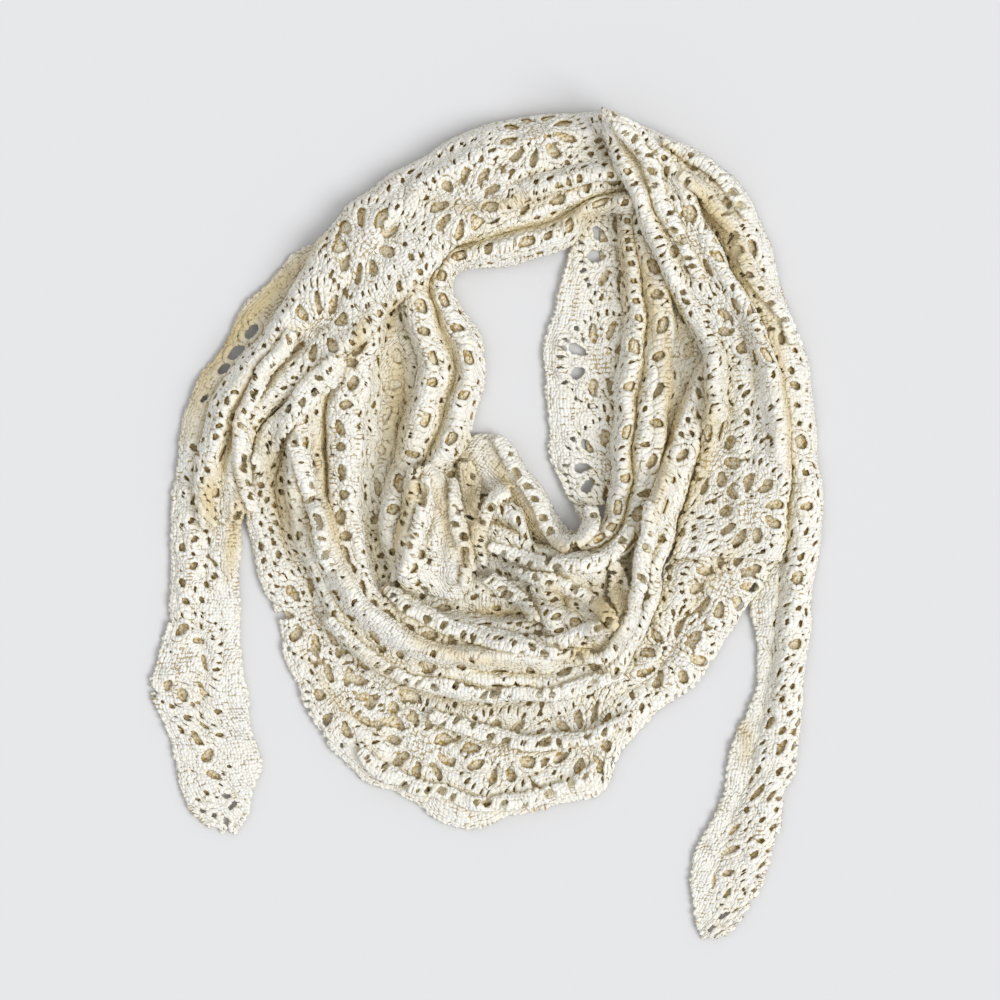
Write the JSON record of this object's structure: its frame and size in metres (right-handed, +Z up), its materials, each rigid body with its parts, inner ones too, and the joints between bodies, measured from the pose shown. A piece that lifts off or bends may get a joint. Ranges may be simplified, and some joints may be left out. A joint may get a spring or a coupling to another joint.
{
  "type": "lace neckerchief",
  "caption": "Triangular crochet-lace neckerchief wound as round a neck and lying flat on a surface, with two hanging tails, a draped front and flower motifs cut through the cloth.",
  "frame": {"origin": "middle of the overall box, on the surface that the neckerchief lies on", "axes": "+Z up from the surface; +Y from the tails towards the back of the neck, along the longest side; +X to the right seen from above"},
  "size_m": [0.4386, 0.5403, 0.0482],
  "materials": {
    "cotton_lace": "matt cream cotton yarn, crocheted",
    "hidden_lace": "matt cream cotton yarn in the shade of the upper layers"
  },
  "bodies": {
    "root": {"left_tail": "cotton_lace", "right_outer_and_tail": "cotton_lace", "inner_panel": "cotton_lace", "inner_rim": "cotton_lace", "front_drape": "cotton_lace", "right_ridges_and_first_swag": "cotton_lace", "left_ridge_and_second_swag": "cotton_lace", "third_swag": "cotton_lace", "neck_loop": "cotton_lace", "centre_flap": "cotton_lace", "crumpled_fold": "cotton_lace", "arch": "cotton_lace", "crossing_panel": "cotton_lace", "hidden_folds_front": "hidden_lace", "hidden_folds_back": "hidden_lace"}
  },
  "joints": []
}
